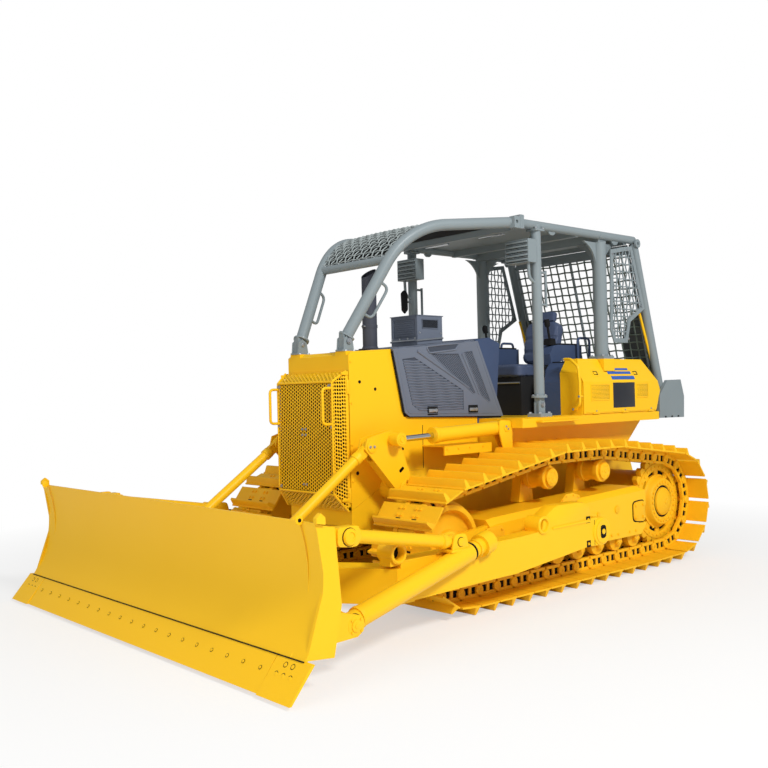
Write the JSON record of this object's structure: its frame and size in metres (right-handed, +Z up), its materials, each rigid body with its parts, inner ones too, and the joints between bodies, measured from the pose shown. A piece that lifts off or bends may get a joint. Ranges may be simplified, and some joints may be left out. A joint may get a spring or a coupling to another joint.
{
  "type": "crawler bulldozer",
  "caption": "Tracked bulldozer with an angling blade on a C-shaped push frame, bell-crank lift linkage, slotted grille and open mesh-guarded canopy.",
  "frame": {"origin": "on the ground, under the middle of the overall length and width", "axes": "+Z up, -Y towards the blade, +X towards the left side of the machine as its operator sits"},
  "size_m": [3.8, 5.86, 3.113],
  "materials": {
    "yellow_paint": "satin machine enamel",
    "track_paint": "thin satin enamel over cast steel",
    "canopy_paint": "satin grey-green enamel",
    "cover_paint": "low-gloss slate grey enamel",
    "console_plastic": "fine-grained moulded plastic",
    "dark_paint": "matt black enamel",
    "engine_paint": "plain engine mass",
    "rod_chrome": "polished hard chrome",
    "seat_vinyl": "soft vinyl",
    "edge_steel": "enamel over hardened steel"
  },
  "bodies": {
    "chassis": {"air_intake": "console_plastic", "canopy_front": "canopy_paint", "canopy_mesh": "canopy_paint", "canopy_roof": "canopy_paint", "carrier_rollers": "track_paint", "consoles": "console_plastic", "cylinder_brackets": "yellow_paint", "dashboard": "console_plastic", "deck": "yellow_paint", "drawbar": "yellow_paint", "engine_block": "engine_paint", "exhaust_stack": "dark_paint", "final_drives": "yellow_paint", "front_posts": "canopy_paint", "fuel_tank": "cover_paint", "hood_top": "cover_paint", "idlers": "track_paint", "lamp_boxes": "canopy_paint", "levers": "dark_paint", "main_frame": "yellow_paint", "radiator_guard": "yellow_paint", "rear_frame": "canopy_paint", "rear_posts": "canopy_paint", "rear_screen": "dark_paint", "seat_back": "seat_vinyl", "seat_base": "console_plastic", "seat_cushion": "seat_vinyl", "side_boxes": "yellow_paint", "side_screens": "canopy_paint", "sprockets": "track_paint", "track_frame_l": "yellow_paint", "track_frame_r": "yellow_paint", "track_l": "track_paint", "track_r": "track_paint", "track_rollers": "track_paint"},
    "push_frame_group": {"push_frame": "yellow_paint", "blade": "yellow_paint", "cutting_edges": "edge_steel", "angling_struts": "yellow_paint"},
    "bell_crank_left": {"bell_crank_l": "yellow_paint"},
    "bell_crank_right": {"bell_crank_r": "yellow_paint"},
    "lift_strut_left": {"lift_strut_l": "yellow_paint"},
    "lift_strut_right": {"lift_strut_r": "yellow_paint"},
    "barrel_left": {"cylinder_barrel_l": "yellow_paint"},
    "barrel_right": {"cylinder_barrel_r": "yellow_paint"},
    "rod_left": {"cylinder_rod_l": "rod_chrome"},
    "rod_right": {"cylinder_rod_r": "rod_chrome"},
    "grille": {"grille_door": "yellow_paint"},
    "cover_left": {"engine_cover_l": "cover_paint"},
    "cover_right": {"engine_cover_r": "cover_paint"},
    "lid_left": {"side_box_lid_l": "yellow_paint"},
    "lid_right": {"side_box_lid_r": "yellow_paint"}
  },
  "joints": [
    {"name": "push_frame_lift", "type": "hinge", "parent": "chassis", "child": "push_frame_group", "pos_m": [0, 0.53, 0.48], "axis": [-1, 0, 0], "range_deg": [-8, 16]},
    {"name": "bell_crank_left_turn", "type": "hinge", "parent": "chassis", "child": "bell_crank_left", "pos_m": [0.572, -0.83, 0.88], "axis": [1, 0, 0], "range_deg": [-44.5, 22.5]},
    {"name": "lift_strut_left_swing", "type": "hinge", "parent": "bell_crank_left", "child": "lift_strut_left", "pos_m": [0.572, -1.18, 1.23], "axis": [1, 0, 0], "range_deg": [-7.54, 14.58]},
    {"name": "cylinder_left_swing", "type": "hinge", "parent": "chassis", "child": "barrel_left", "pos_m": [0.682, 0.21, 1.319], "axis": [1, 0, 0], "range_deg": [-2.58, 1.54]},
    {"name": "rod_left_stroke", "type": "slide", "parent": "barrel_left", "child": "rod_left", "axis": [0, -0.9994, -0.0354], "range_m": [-0.3064, 0.1542]},
    {"name": "bell_crank_right_turn", "type": "hinge", "parent": "chassis", "child": "bell_crank_right", "pos_m": [-0.572, -0.83, 0.88], "axis": [1, 0, 0], "range_deg": [-44.5, 22.5]},
    {"name": "lift_strut_right_swing", "type": "hinge", "parent": "bell_crank_right", "child": "lift_strut_right", "pos_m": [-0.572, -1.18, 1.23], "axis": [1, 0, 0], "range_deg": [-7.54, 14.58]},
    {"name": "cylinder_right_swing", "type": "hinge", "parent": "chassis", "child": "barrel_right", "pos_m": [-0.682, 0.21, 1.319], "axis": [1, 0, 0], "range_deg": [-2.58, 1.54]},
    {"name": "rod_right_stroke", "type": "slide", "parent": "barrel_right", "child": "rod_right", "axis": [0, -0.9994, -0.0354], "range_m": [-0.3064, 0.1542]},
    {"name": "grille_swing", "type": "hinge", "parent": "chassis", "child": "grille", "pos_m": [0.386, -1.215, 1.27], "axis": [0, 0, 1], "range_deg": [0, 90]},
    {"name": "cover_left_lift", "type": "hinge", "parent": "chassis", "child": "cover_left", "pos_m": [0.391, -0.255, 2.0235], "axis": [0, -0.9964, -0.0842], "range_deg": [0, 80]},
    {"name": "cover_right_lift", "type": "hinge", "parent": "chassis", "child": "cover_right", "pos_m": [-0.391, -0.255, 2.0235], "axis": [0, 0.9964, 0.0842], "range_deg": [0, 80]},
    {"name": "lid_left_drop", "type": "hinge", "parent": "chassis", "child": "lid_left", "pos_m": [0.87, 1.73, 1.402], "axis": [0, 1, 0], "range_deg": [0, 90]},
    {"name": "lid_right_drop", "type": "hinge", "parent": "chassis", "child": "lid_right", "pos_m": [-0.87, 1.73, 1.402], "axis": [0, -1, 0], "range_deg": [0, 90]}
  ],
  "couplings": [
    {"joint": "bell_crank_left_turn", "follows": "push_frame_lift", "ratio": -2.75},
    {"joint": "lift_strut_left_swing", "follows": "push_frame_lift", "ratio": 0.88},
    {"joint": "cylinder_left_swing", "follows": "push_frame_lift", "ratio": -0.13},
    {"joint": "rod_left_stroke", "follows": "push_frame_lift", "m_per_rad": -1.09},
    {"joint": "bell_crank_right_turn", "follows": "push_frame_lift", "ratio": -2.75},
    {"joint": "lift_strut_right_swing", "follows": "push_frame_lift", "ratio": 0.88},
    {"joint": "cylinder_right_swing", "follows": "push_frame_lift", "ratio": -0.13},
    {"joint": "rod_right_stroke", "follows": "push_frame_lift", "m_per_rad": -1.09}
  ]
}
